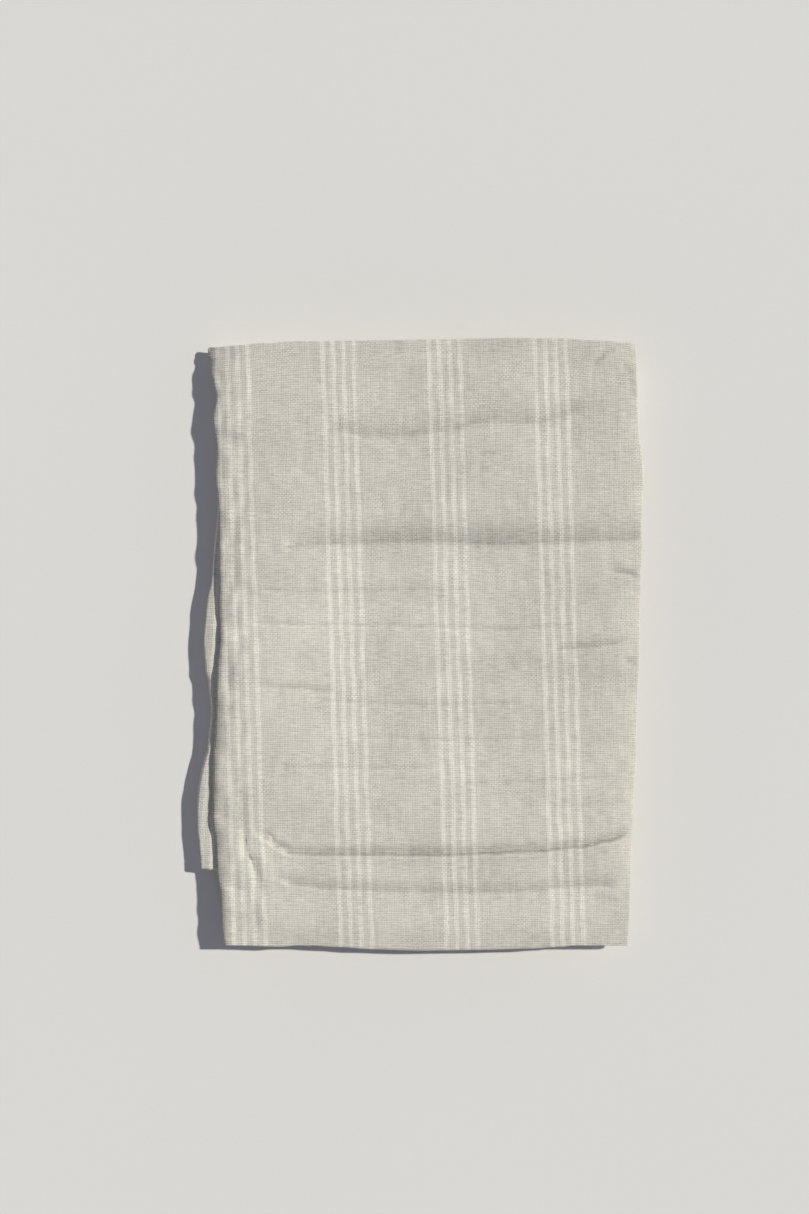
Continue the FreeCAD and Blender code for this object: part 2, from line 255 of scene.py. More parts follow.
# pressed-in creases: points (x, y) in millimetres, depth, width above the line, width below it
CREASES_ACROSS = [
    ([(-92, -102), (-84, -107.4), (-77, -112.6), (-71, -115.4), (-57, -116.1), (18, -116.4), (40, -115.4),
      (65, -114.2), (90, -112), (108, -108.6), (121, -105)], 2.3, 3.6, 0.9),
    ([(-84, -124.5), (-76, -129.5), (-70, -132.6), (-47, -134.8), (7, -137.4), (65, -135.9), (77, -134.3),
      (102, -133), (116, -134)], 1.2, 4.2, 1.1),
    ([(-74, 55), (-50, 57.2), (0, 58.5), (50, 57), (90, 58.6), (125, 60)], 1.25, 6.5, 2.4),
    ([(-54, 121), (-20, 116.6), (14, 119), (36, 124), (64, 123.4), (95, 131)], 0.95, 5.5, 2.2),
    ([(32, 105.6), (40, 106.6), (47, 106)], 0.5, 1.8, 1.1),
    ([(102, 42.4), (113, 40.6), (125, 36.4)], 1.3, 2.6, 1.0),
    ([(74, -1.9), (92, -0.6), (104, 0.6), (116, 2.6)], 1.1, 3.0, 1.2),
    ([(112, -6.4), (118, -9.4), (125, -13.6)], 1.1, 2.4, 1.0),
    ([(-92, -22.2), (-70, -23.4), (-44, -25.6)], 0.85, 2.4, 1.3),
    ([(-100, 13), (-60, 11.4), (-30, 11), (10, 10.2), (50, 9.2), (86, 10.6)], 0.6, 1.7, 0.9),
    ([(-92, 31), (-60, 29.6), (-20, 30.4), (30, 31)], 0.5, 1.5, 0.9),
    ([(-60, -31), (0, -33), (60, -32)], 0.55, 1.6, 0.9),
    ([(-40, -51), (20, -52.6), (70, -52)], 0.5, 1.6, 0.9),
    ([(-80, -67.4), (-20, -68.4), (10, -68)], 0.55, 1.6, 0.9),
    ([(20, -77), (60, -76), (110, -73.4)], 0.55, 1.8, 0.9),
    ([(50, -88), (90, -89), (120, -86.6)], 0.45, 2.6, 1.4),
    ([(-112, -134), (-98, -135.6), (-84, -135)], 0.45, 2.0, 1.2),
    ([(92, -139), (106, -141), (119, -143.4)], 0.6, 2.6, 1.2),
    ([(-112, 84), (-100, 82.6), (-88, 84)], 0.3, 3.4, 2.0),
    ([(-114, 141.5), (-108, 141), (-98, 143)], 0.6, 2.4, 1.6),
]
# creases that run along the packet: points (y, x), depth, width to their right, width to their left
CREASES_ALONG = [
    ([(-142, -86.4), (-124, -90), (-110, -95), (-92, -97), (-74, -98.4)], 0.85, 2.4, 2.6),
    ([(-160, -90), (-148, -92.4), (-140, -94)], 0.75, 2.0, 2.2),
    ([(-136, -86), (-122, -90.6), (-112, -95.6)], 0.7, 1.6, 2.6),
    ([(152, 98.6), (156.4, 100.8), (160.4, 104.4), (163.4, 109.6), (165.4, 117)], 1.3, 2.2, 1.4),
    ([(149, 119.4), (153, 117), (158, 115)], 0.8, 1.6, 1.4),
    ([(128, -108.6), (143, -106.8), (160, -109.4)], 0.7, 2.2, 2.0),
    ([(-30, -104), (-12, -106), (4, -105)], 0.6, 2.2, 2.2),
    ([(24, -105.4), (44, -103.6), (66, -105)], 0.6, 2.4, 2.2),
]
# soft darker and lighter zones of the top: the bands along creases, at the two ends and by the left
# side are painted shade, the others darken or lighten the colour in patches;
# middle and half sizes in millimetres, darkness
PAINTED_SHADE_AND_TONE_ZONES = [((45, 128), (85, 42), 0.24), ((112, 45), (20, 95), 0.26), ((30, 64), (105, 8), 0.42),
              ((30, 164), (120, 5), 0.45), ((60, -14), (60, 12), 0.22), ((0, -164), (110, 6), 0.42),
              ((8, -118), (14, 22), 0.24), ((70, 22), (40, 16), 0.16), ((-60, 92), (30, 12), 0.12),
              ((100, 150), (32, 24), 0.26), ((-62, -30), (26, 46), -0.34), ((-66, 22), (26, 26), -0.26),
              ((-82, -108), (12, 10), -0.30), ((-78, -126), (9, 6), -0.40), ((-45, 148), (26, 22), 0.20),
              ((-104, -60), (12, 50), 0.22), ((90, 0), (22, 26), 0.18)]


def crease(points, depth, above, below, place, beside):
    """A groove along one crease: how deep it is pressed, and the painted shade in it, at each point."""
    line_at = along(points, place)
    first, last = points[0][0] * MM, points[-1][0] * MM
    fade = min(9 * MM, (last - first) / 3)
    window = smooth(first, first + fade, place) * (1 - smooth(last - fade, last, place))
    gap = beside - line_at
    width = np.where(gap > 0, above, below) * MM
    groove = np.exp(-((gap / width) ** 2)) * window
    lip = np.exp(-(((gap + 2.4 * below * MM) / (1.6 * below * MM)) ** 2)) * window
    # core: a narrow line of painted shade at the bottom of the deeper creases
    core = np.exp(-((gap / (0.8 * MM)) ** 2)) * window * max(0.0, depth - 0.5)
    # the second value is painted shade, darkening the colour where the groove lies
    return depth * MM * (0.25 * lip - groove), groove * min(1.0, 0.7 * depth) + 0.6 * core


def pressed(x, y):
    """All the creases at points of the packet's top: (height, painted shade)."""
    height, dark = np.zeros(np.shape(x)), np.zeros(np.shape(x))
    for points, depth, above, below in CREASES_ACROSS:
        more, darker = crease(points, depth, above, below, x, y)
        height, dark = height + more, np.maximum(dark, darker)
    for points, depth, right, left in CREASES_ALONG:
        more, darker = crease(points, depth, right, left, y, x)
        height, dark = height + more, np.maximum(dark, darker)
    # the zones' painted shade and patches, added to the creases' painted shade
    for (cx, cy), (half_x, half_y), amount in PAINTED_SHADE_AND_TONE_ZONES:
        away = ((x / MM - cx) / half_x) ** 2 + ((y / MM - cy) / half_y) ** 2
        dark = dark + amount * np.exp(-away)
    return height, dark


def nose_wave(x, fold):
    """How much further out the nose of a fold stands than a straight one."""
    if fold == 6:
        return np.clip(along(UPPER_FAR, x), -NOSE_SPAN, NOSE_SPAN)
    return waves(x, 0 * x, 60 + fold, 0.05, 0.12, count=4) * NOSE_WAVE


def relief(x, y, kind):
    *wave, height = kind
    return waves(x, y, *wave) * height


def stray_sideways(section, s, x, y):
    """How far points of a section lie from where straight sides and folds would put them: (dx, dy)."""
    share = s / section.half
    left = 1 - smooth(0, SIDE_REACH, section.half + s)
    right = 1 - smooth(0, SIDE_REACH, section.half - s)
    dx = right * along(UPPER_RIGHT, y) - left * along(UPPER_LEFT, y)
    past_nose = np.clip(along(UPPER_FAR, x) - nose_wave(x, 6), 0, FAR_SPAN)
    dy = -smooth(*TOWARDS_FOLD_6, y) * past_nose
    if section.number == 7:
        dy = dy + smooth(*TOWARDS_MIDDLE_FOLD, y) * along(UPPER_NEAR, x)
    if section.lower:
        shared = smooth(*SHARED_SIDES, y)
        own = right * along(LOWER_RIGHT, y) - left * along(LOWER_LEFT, y)
        dx, dy = dx * shared + own * (1 - shared), 0 * dy
    sway = waves(y, np.sign(s) * 0.02 + 0 * y, 40 + section.number, 0.06, 0.16, count=5)
    sway = sway * smooth(*SWAY_NEAR, y) * smooth(*SWAY_FAR, y) * np.abs(share) ** 3
    return dx + sway * (LOWER_SWAY if section.lower else UPPER_SWAY), dy


def stray(section, s, plan, z):
    """Moves points of a section from straight folds to how the packet really lies. Fold lines keep their
    height, so the cloth stays joined as it opens. plan is the points' x and y; the result is
    (x, y, z, painted shade): the shade of the creases, the zones and the left edge, painted into the colour."""
    x, y = plan[..., 0], plan[..., 1]
    share = s / section.half
    dx, dy = stray_sideways(section, s, x, y)
    level = z / PACKET_TOP
    groove, dark = pressed(x, y)
    rim = RIM_DROP * np.clip(np.abs(share), 0, 1.05) ** RIM_POWER * (1 - 0.7 * smooth(*RIM_FADE, y))
    top_only = relief(x, y, FINE_RELIEF) + relief(x, y, CROSS_RELIEF)
    top_only = top_only + relief(x, y, CRUMPLED_BAND) * smooth(*BAND_SPAN, x)
    top_only = top_only - rim + np.maximum(groove, -DEEPEST)
    lift = relief(x, y, BROAD_RELIEF) * level + top_only * level ** 2
    calm = 1 - (TOP_CALM if section.number == 7 else LOWER_CALM) * smooth(*NEAR_CALM, y)
    lift = lift * calm * smooth(*(LOWER_RISE if section.lower else UPPER_RISE), y)
    lift = lift - END_DROP * smooth(*END_SPAN, y) ** 2 * level ** 2
    corner = np.exp(-(((x - CORNER[0]) / CORNER_SIZE[0]) ** 2) - ((y - CORNER[1]) / CORNER_SIZE[1]) ** 2)
    lift = lift - CORNER_PRESS * corner * z
    if not section.lower:
        lift = lift - FOLD_PINCH * smooth(*PINCH_SPAN, y) * (z - FOLDS[6][0][2])
    # painted shade along the left edge
    dark = dark + LEFT_EDGE_PAINTED_SHADE * smooth(*LEFT_EDGE_SHADE_SPAN, share)
    return x + dx, y + dy, z + lift, dark * level ** 4


# ---- meshes


def cloth_columns(section, strand, smooth_step, other_step):
    """Across one strand, from the flap's long edge to the tucked third's: s, height and cloth width."""
    low, tucked, flap = STRANDS[strand]
    nest = low * (SECTION_HEIGHT / 2 + PITCH - LAYER)
    left_round, right_round = (flap - low) * PITCH / 2, (tucked - low) * PITCH / 2
    left = -section.half + left_round + LAYER / 2 + nest
    right = section.half - right_round - LAYER / 2 - nest
    flap_end, tuck_end = section.half - section.inset, -section.half + section.inset
    coarse_count = round((section.half * 2 - section.inset) / other_step)
    smooth_count = round(section.half * 2 / smooth_step)
    bend = np.linspace(0, math.pi, BEND_STEPS + 1)[1:-1]
    s = np.concatenate([
        np.linspace(flap_end, left, coarse_count + 1),
        left - left_round * np.sin(bend),
        np.linspace(left, right, smooth_count + 1),
        right + right_round * np.sin(bend),
        np.linspace(right, tuck_end, coarse_count + 1),
    ])
    h = np.concatenate([
        np.full(coarse_count + 1, layer_height(flap)),
        layer_height(low) + left_round * (1 + np.cos(bend)),
        np.full(smooth_count + 1, layer_height(low)),
        layer_height(low) + right_round * (1 - np.cos(bend)),
        np.full(coarse_count + 1, layer_height(tucked)),
    ])
    width = np.concatenate([[0], np.cumsum(np.hypot(np.diff(s), np.diff(h)))])
    return s, h, width


def row_places(start, end, step, dense_at):
    """Places from start to end, step apart, and closer near dense_at."""
    places, place = [start], start
    while place < end - 1.2 * step:
        close = any(-2.5 * MM < place - spot < 3 * MM for spot in dense_at)
        place += FINEST if close else step
        places.append(place)
    return np.array(places + [end])


def fold_rows(section, s, z, near, partner_z=None, partner_s=None):
    """The rows with which the cloth turns about the fold at one end: (forward, out, s, z, turned length)."""
    fold = section.near_fold if near else section.far_fold
    if fold:
        axis_z = FOLDS[fold][0][2]
        radius = np.abs(z - axis_z)
        side = np.sign(z - axis_z)
        middle_s, across_s = s, np.zeros_like(s)
        nose = nose_wave(section.middle[0] + s, fold)
        free = smooth(*TIGHT_RADII, radius)
        reach = TIGHT_REACH + (FOLD_REACH + nose / SECTION_HEIGHT - TIGHT_REACH) * free
    else:
        axis_z = (z + partner_z) / 2
        middle_s, across_s = (s + partner_s) / 2, (s - partner_s) / 2
        radius = np.hypot(z - axis_z, across_s)
        side = np.divide(z - axis_z, radius)
        across_s = across_s / radius
        reach = np.ones_like(s)
    turns = [(turn, 1.0) for turn in np.linspace(0, math.pi / 2, FOLD_STEPS + 1)[1:]]
    if fold == section.number:
        turns.append((math.pi / 2 + TUCK_PAST, TUCK_SIZE))
    rows = []
    for turn, share in turns:
        size = radius * share
        rows.append((
            reach * size * math.sin(turn),
            middle_s + across_s * size * math.cos(turn),
            axis_z + side * size * math.cos(turn),
            radius * turn,
        ))
    return rows


def strand_grid(section, strand, smooth_step, other_step, row_step, dense_at=(), trim_far=0.0):
    """A strand's middle surface: positions (rows, columns, 3), cloth coordinates and painted shade."""
    s, h, width = cloth_columns(section, strand, smooth_step, other_step)
    z = section.height(h)
    other = "inner" if strand == "outer" else "outer"
    partner_s, partner_h, _ = cloth_columns(section, other, smooth_step, other_step)
    partner_z = section.height(partner_h)
    far, near = section.reach(s, False) + trim_far, section.reach(s, True)
    middle = row_places(far.mean(), near.mean(), row_step, dense_at)
    share = (middle - middle[0]) / (middle[-1] - middle[0])
    rows_t = far[None, :] * (1 - share[:, None]) + near[None, :] * share[:, None]
    rows = [(t, 0.0, s, z, None) for t in rows_t]
    v = list(middle)
    if section.near_fold or not trim_far:
        for out, row_s, row_z, turned in fold_rows(section, s, z, True, partner_z, partner_s):
            rows.append((near, out, row_s, row_z, True))
            v.append(middle[-1] + float(np.mean(turned)))
    if section.far_fold:
        for out, row_s, row_z, turned in fold_rows(section, s, z, False):
            rows.insert(0, (far, out, row_s, row_z, False))
            v.insert(0, middle[0] - float(np.mean(turned)))
    points, darkness = [], []
    for t, out, row_s, row_z, at_near in rows:
        shifted = row_s + section.side_shift(row_s, t)
        plan = section.middle + shifted[:, None] * section.across + t[:, None] * section.forward
        x, y, lifted, dark = stray(section, row_s, plan, row_z)
        if at_near is not None:
            direction = section.outward(at_near)
            x, y = x + out * direction[0], y + out * direction[1]
        points.append(np.stack([x, y, lifted], axis=-1))
        darkness.append(dark)
    cloth = np.stack(np.broadcast_arrays(width[None, :], np.array(v)[:, None]), axis=-1)
    return np.array(points), cloth, np.array(darkness)


def surface_normals(points):
    across = np.gradient(points, axis=1)
    forward = np.gradient(points, axis=0)
    normals = np.cross(across, forward)
    return normals / np.maximum(np.linalg.norm(normals, axis=-1, keepdims=True), 1e-12)


def shell(name, points, cloth, thickness, darkness=None):
    """A closed sheet of an even or varying thickness about a grid of points; painted shade goes on its
    points.
    """
    rows, columns = points.shape[:2]
    half = surface_normals(points) * np.asarray(thickness).reshape(-1, 1, 1) / 2
    vertices = np.concatenate([(points + half).reshape(-1, 3), (points - half).reshape(-1, 3)])
    index = np.arange(rows * columns).reshape(rows, columns)
    under = index + rows * columns

    def quad(*corners):
        return np.stack(corners, axis=-1).reshape(-1, 4)

    faces = np.concatenate([
        quad(index[:-1, :-1], index[:-1, 1:], index[1:, 1:], index[1:, :-1]),
        quad(under[:-1, :-1], under[1:, :-1], under[1:, 1:], under[:-1, 1:]),
        quad(index[0, :-1], under[0, :-1], under[0, 1:], index[0, 1:]),
        quad(index[-1, :-1], index[-1, 1:], under[-1, 1:], under[-1, :-1]),
        quad(index[:-1, 0], index[1:, 0], under[1:, 0], under[:-1, 0]),
        quad(index[:-1, -1], under[:-1, -1], under[1:, -1], index[1:, -1]),
    ])
    piece = mesh_object(name, vertices, faces.tolist())
    rounded = np.arange(len(faces)) < 2 * (rows - 1) * (columns - 1)  # the edges are cut square
    piece.data.polygons.foreach_set("use_smooth", rounded)
    add_cloth_map(piece, np.concatenate([cloth.reshape(-1, 2)] * 2))
    if darkness is not None:
        # painted shade of creases, zones and the left edge, kept on the points under the name pressed
        shade = piece.data.attributes.new("pressed", "FLOAT", "POINT")
        shade.data.foreach_set("value", np.concatenate([darkness.ravel()] * 2).astype(np.float32))
    return piece


def add_object(name, data):
    added = bpy.data.objects.new(name, data)
    bpy.context.scene.collection.objects.link(added)
    return added


def mesh_object(name, vertices, faces):
    """A smooth-shaded mesh from an array of points and a list of faces."""
    mesh = bpy.data.meshes.new(name)
    mesh.from_pydata(np.asarray(vertices).tolist(), [], faces)
    mesh.polygons.foreach_set("use_smooth", [True] * len(mesh.polygons))
    mesh.update()
    return add_object(name, mesh)


def add_cloth_map(piece, cloth):
    """The cloth's own coordinates, in metres, as the mesh's UV map."""
    mesh = piece.data
    corners = np.zeros(len(mesh.loops), np.int32)
    mesh.loops.foreach_get("vertex_index", corners)
    layer = mesh.uv_layers.new(name="cloth")
    layer.data.foreach_set("uv", cloth[corners].astype(np.float32).ravel())


def tubes(name, paths, radius, sides=5):
    """Thin round threads along several paths, as one mesh."""
    vertices, faces, maps, start = [], [], [], 0
    turn = np.arange(sides) * math.tau / sides
    for path in paths:
        ahead = np.gradient(path, axis=0)
        ahead /= np.linalg.norm(ahead, axis=1, keepdims=True)
        side = np.cross(ahead, [0.12, 0.08, 1.0])
        side /= np.linalg.norm(side, axis=1, keepdims=True)
        up = np.cross(side, ahead)
        ring = side[:, None] * np.cos(turn)[None, :, None] + up[:, None] * np.sin(turn)[None, :, None]
        vertices.append((path[:, None] + radius * ring).reshape(-1, 3))
        index = start + np.arange(len(path) * sides).reshape(len(path), sides)
        after = np.roll(index, -1, axis=1)
        faces += np.stack([index[:-1], after[:-1], after[1:], index[1:]], axis=-1).reshape(-1, 4).tolist()
        faces += [index[0][::-1].tolist(), index[-1].tolist()]
        run = np.concatenate([[0], np.cumsum(np.linalg.norm(np.diff(path, axis=0), axis=1))])
        around = turn * radius
        maps.append(np.stack(np.broadcast_arrays(run[:, None], around[None, :]), -1).reshape(-1, 2))
        start += len(path) * sides
    piece = mesh_object(name, np.concatenate(vertices), faces)
    add_cloth_map(piece, np.concatenate(maps))
    return piece


# ---- materials

GROUND = (0.660, 0.642, 0.592)
STRIPE = (0.792, 0.777, 0.722)
THREAD = (0.720, 0.700, 0.640)
MARKER = (0.640, 0.560, 0.440)
LABEL = (0.800, 0.790, 0.760)
FLOOR = (0.780, 0.777, 0.780)
FIRST_GROUP = 58 * MM
GROUP_PITCH = 59 * MM
STRIPE_PITCH = 5.75 * MM
STRIPE_HALF = 1.25 * MM
STRIPE_SOFT = 0.65 * MM
WEFT_PITCH = 1.2 * MM
WARP_PITCH = 0.95 * MM
CHECK_PITCH = 2.3 * MM  # of the pattern where two layers' weaves cross
WARM_TINT = (0.72, 0.62, 0.60)
COOL_TINT = (0.58, 0.62, 0.68)
PAINTED_SHADE_WEIGHT = -0.2  # how much the painted shade darkens the gauze's colour


class Graph:
    """A material's nodes, with short ways to add them."""

    def __init__(self, name):
        self.material = bpy.data.materials.new(name)
        self.material.use_nodes = True
        self.tree = self.material.node_tree
        self.shader = next(n for n in self.tree.nodes if n.type == "BSDF_PRINCIPLED")

    def put(self, socket, value):
        if isinstance(value, bpy.types.NodeSocket):
            self.tree.links.new(value, socket)
        else:
            socket.default_value = value

    def math(self, operation, *values, clamp=False):
        node = self.tree.nodes.new("ShaderNodeMath")
        node.operation, node.use_clamp = operation, clamp
        for socket, value in zip(node.inputs, values):
            self.put(socket, value)
        return node.outputs[0]

    def ramp(self, value, low, high):
        node = self.tree.nodes.new("ShaderNodeMapRange")
        node.interpolation_type = "SMOOTHSTEP"
        for name, given in zip(("Value", "From Min", "From Max"), (value, low, high)):
            self.put(node.inputs[name], given)
        return node.outputs[0]

    def vector(self, x, y, z=0.0):
        node = self.tree.nodes.new("ShaderNodeCombineXYZ")
        for socket, value in zip(node.inputs, (x, y, z)):
            self.put(socket, value)
        return node.outputs[0]

    def noise(self, vector, scale, detail=2.0):
        node = self.tree.nodes.new("ShaderNodeTexNoise")
        self.put(node.inputs["Vector"], vector)
        self.put(node.inputs["Scale"], scale)
        self.put(node.inputs["Detail"], detail)
        return node.outputs[0]

    def fine_noise(self, u, v, u_scale, v_scale):
        """Noise over the cloth's coordinates, scaled apart along each."""
        place = self.vector(self.math("MULTIPLY", u, u_scale), self.math("MULTIPLY", v, v_scale))
        return self.noise(place, 1.0)

    def mix(self, share, first, second, blend="MIX"):
        node = self.tree.nodes.new("ShaderNodeMix")
        node.data_type, node.blend_type = "RGBA", blend
        self.put(node.inputs[0], share)
        for socket, value in zip(node.inputs[6:8], (first, second)):
            self.put(socket, (*value, 1.0) if isinstance(value, tuple) else value)
        return node.outputs[2]

    def grey(self, value):
        node = self.tree.nodes.new("ShaderNodeCombineColor")
        for socket in node.inputs[:3]:
            self.put(socket, value)
        return node.outputs[0]

    def bump(self, height, strength, distance):
        node = self.tree.nodes.new("ShaderNodeBump")
        self.put(node.inputs["Strength"], strength)
        self.put(node.inputs["Distance"], distance)
        self.put(node.inputs["Height"], height)
        self.put(self.shader.inputs["Normal"], node.outputs[0])

    def cloth(self):
        """The cloth's own two coordinates, in metres."""
        node = self.tree.nodes.new("ShaderNodeUVMap")
        node.uv_map = "cloth"
        parts = self.tree.nodes.new("ShaderNodeSeparateXYZ")
        self.put(parts.inputs[0], node.outputs[0])
        return parts.outputs[0], parts.outputs[1]

    def wave(self, place, pitch):
        """A wave of that pitch, from 0 to 1."""
        turned = self.math("SINE", self.math("MULTIPLY", place, math.tau / pitch))
        return self.math("MULTIPLY_ADD", turned, 0.5, 0.5)


def finish_shader(graph, roughness, sheen):
    """Matt fibre; the roughness is a number or a node's output."""
    graph.put(graph.shader.inputs["Roughness"], roughness)
    graph.shader.inputs["Specular IOR Level"].default_value = 0.15
    graph.shader.inputs["Sheen Weight"].default_value = sheen
    graph.shader.inputs["Sheen Roughness"].default_value = 0.5
    return graph.material


def stripe_mask(graph, u, v):
    """Groups of four soft-edged stripes along the cloth, from 0 to 1."""
    wander = graph.fine_noise(u, v, 30.0, 60.0)
    fray = graph.fine_noise(u, v, 300.0, 700.0)
    moved = graph.math("MULTIPLY_ADD", graph.math("SUBTRACT", wander, 0.5), 2.2 * MM, u)
    moved = graph.math("MULTIPLY_ADD", graph.math("SUBTRACT", fray, 0.5), 0.9 * MM, moved)
    start = FIRST_GROUP - GROUP_PITCH / 2
    in_group = graph.math("MODULO", graph.math("SUBTRACT", moved, start - GROUP_PITCH), GROUP_PITCH)
    from_middle = graph.math("SUBTRACT", in_group, GROUP_PITCH / 2)
    shifted = graph.math("ADD", from_middle, 2 * STRIPE_PITCH + GROUP_PITCH // STRIPE_PITCH * STRIPE_PITCH)
    in_stripe = graph.math("SUBTRACT", graph.math("MODULO", shifted, STRIPE_PITCH), STRIPE_PITCH / 2)
    from_stripe = graph.math("ABSOLUTE", in_stripe)
    stripe = graph.math("SUBTRACT", 1.0,
                        graph.ramp(from_stripe, STRIPE_HALF - STRIPE_SOFT, STRIPE_HALF + STRIPE_SOFT))
    group = graph.math("LESS_THAN", graph.math("ABSOLUTE", from_middle), 2 * STRIPE_PITCH)
    return graph.math("MULTIPLY", stripe, group)


def gauze_material():
    """Two-layer gauze: cream stripes on a stone ground, weft lines, slubs, moire where layers cross, and
    painted shade.
    """
    graph = Graph("gauze")
    u, v = graph.cloth()

    def by_mm(across, lengthwise):
        """Where a point lies in the cloth, in steps of so many millimetres each way."""
        return graph.vector(graph.math("MULTIPLY", u, 1000.0 / across),
                            graph.math("MULTIPLY", v, 1000.0 / lengthwise))

    bow = graph.math("MULTIPLY", graph.noise(by_mm(40.0, 25.0), 1.0), 2.0 * MM)
    weft = graph.wave(graph.math("ADD", v, bow), WEFT_PITCH)
    warp = graph.wave(graph.math("ADD", u, bow), WARP_PITCH)
    under = graph.wave(graph.math("MULTIPLY_ADD", v, 1.07, graph.math("MULTIPLY", u, 0.05)), WEFT_PITCH)
    slub = graph.noise(by_mm(6.5, 0.85), 1.0, 2.0)
    streak = graph.noise(by_mm(1.3, 22.0), 1.0, 3.0)
    grain = graph.noise(by_mm(1.1, 1.1), 1.0, 1.0)
    patch = graph.ramp(graph.noise(by_mm(16.0, 12.0), 1.0), 0.5, 0.68)
    checks = graph.math("MULTIPLY", graph.wave(graph.math("ADD", u, v), CHECK_PITCH),
                        graph.wave(graph.math("SUBTRACT", u, v), CHECK_PITCH))
    checks = graph.math("MULTIPLY", graph.math("SUBTRACT", checks, 0.25), patch)
    cloudy = graph.noise(by_mm(38.0, 26.0), 1.0, 2.0)
    warmth = graph.noise(by_mm(24.0, 17.0), 1.3, 1.0)

    stripes = stripe_mask(graph, u, v)
    worn = graph.math("MULTIPLY", stripes, graph.ramp(graph.noise(by_mm(9.0, 5.0), 1.0), 0.05, 0.45))
    colour = graph.mix(worn, GROUND, STRIPE)
    colour = graph.mix(graph.ramp(warmth, 0.45, 0.75), colour, graph.mix(0.10, colour, WARM_TINT))
    colour = graph.mix(graph.ramp(warmth, 0.55, 0.25), colour, graph.mix(0.08, colour, COOL_TINT))
    shade = graph.math("MULTIPLY_ADD", checks, 0.22, 1.0)
    for part, weight in ((slub, 0.58), (streak, 0.32), (grain, 0.34), (weft, 0.13), (warp, 0.05),
                         (under, 0.06), (cloudy, 0.34)):
        shade = graph.math("MULTIPLY_ADD", graph.math("SUBTRACT", part, 0.5), weight, shade)
    # painted shade: the points' pressed attribute darkens the colour at creases, in zones and at the left
    # edge
    painted_shade_in = graph.tree.nodes.new("ShaderNodeAttribute")
    painted_shade_in.attribute_name = "pressed"
    shade = graph.math("MULTIPLY_ADD", painted_shade_in.outputs["Fac"], PAINTED_SHADE_WEIGHT, shade)
    colour = graph.mix(1.0, colour, graph.grey(shade), "MULTIPLY")
    graph.put(graph.shader.inputs["Base Color"], colour)

    height = graph.math("MULTIPLY_ADD", warp, 0.5, weft)
    height = graph.math("MULTIPLY_ADD", slub, 1.6, height)
    height = graph.math("MULTIPLY_ADD", streak, 1.1, height)
    height = graph.math("MULTIPLY_ADD", stripes, 0.5, height)
    graph.bump(height, 0.7, 0.15 * MM)
    return finish_shader(graph, graph.math("MULTIPLY_ADD", slub, 0.15, 0.80), 0.12)


def thread_material():
    """Plied cotton thread."""
    graph = Graph("thread")
    u, v = graph.cloth()
    ply = graph.wave(graph.math("MULTIPLY_ADD", v, 1.6, u), 0.5 * MM)
    fibre = graph.fine_noise(u, v, 3000.0, 9000.0)
    shade = graph.math("MULTIPLY_ADD", ply, 0.14, graph.math("MULTIPLY_ADD", fibre, 0.2, 0.82))
    graph.put(graph.shader.inputs["Base Color"], graph.mix(1.0, THREAD, graph.grey(shade), "MULTIPLY"))
    graph.bump(ply, 0.6, 0.05 * MM)
    return finish_shader(graph, 0.7, 0.2)


def tape_material(name, colour, rib_pitch, slant, relief):
    """Narrow woven tape: ribs that slant one way and then the other, as in twill, or straight satin."""
    graph = Graph(name)
    u, v = graph.cloth()
    zigzag = graph.math("PINGPONG", v, 3 * MM)
    ribs = graph.wave(graph.math("MULTIPLY_ADD", zigzag, slant, u), rib_pitch)
    fibre = graph.fine_noise(u, v, 2500.0, 1200.0)
    shade = graph.math("MULTIPLY_ADD", ribs, 0.16, graph.math("MULTIPLY_ADD", fibre, 0.24, 0.78))
    graph.put(graph.shader.inputs["Base Color"], graph.mix(1.0, colour, graph.grey(shade), "MULTIPLY"))
    graph.bump(ribs, 0.5, relief)
    return finish_shader(graph, 0.65, 0.15)


def floor_material():
    """Pale matt board with a very fine grain."""
    graph = Graph("floor")
    place = graph.tree.nodes.new("ShaderNodeTexCoord").outputs["Object"]
    grain = graph.noise(place, 900.0, 2.0)
    broad = graph.noise(place, 3.0, 2.0)
    shade = graph.math("MULTIPLY_ADD", graph.math("SUBTRACT", grain, 0.5), 0.05, 1.0)
    shade = graph.math("MULTIPLY_ADD", graph.math("SUBTRACT", broad, 0.5), 0.02, shade)
    graph.put(graph.shader.inputs["Base Color"], graph.mix(1.0, FLOOR, graph.grey(shade), "MULTIPLY"))
    graph.bump(grain, 0.2, 0.1 * MM)
    return finish_shader(graph, 0.9, 0.0)


MATERIALS = {
    "gauze": gauze_material(),
    "thread": thread_material(),
    "marker_tape": tape_material("marker_tape", MARKER, 0.9 * MM, 0.8, 0.12 * MM),
    "label_tape": tape_material("label_tape", LABEL, 0.4 * MM, 0.0, 0.04 * MM),
}


def dress(piece, slot, section, *nodes):
    """Gives a piece its material and slot and the body that it rides on, and hides the CAD nodes it stands
    for.
    """
    piece.data.materials.append(MATERIALS[slot])
    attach(piece, f"section_{section}")
    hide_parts(*nodes)
    return piece


# ---- the pieces

STRIPE_SLANT = {7: 0.0303, 6: -0.0303}  # how far askew the stripes of the upper sections run
LOWER_SLANT = 0.006
WEAVE_STEP = 0.4  # along the cloth from one section's weave to the next one's
FINE_ROWS_AT = (-0.1345, -0.1164, -0.1115, -0.1065, -0.0760, -0.0684, -0.0526, -0.0325, -0.0240,
                -0.0006, 0.0096, 0.0300, 0.0400, 0.0585, 0.1064, 0.1180, 0.1235)
HEM_ROWS = 10
HEM_THICKNESS = 0.39 * MM
HEM_ROLL = 0.6 * MM  # over which the hem's end rounds off
HEM_SEAM, SEAM_HALF = 6.4 * MM, 0.5 * MM  # the stitches' line from the hem's end, and half its width


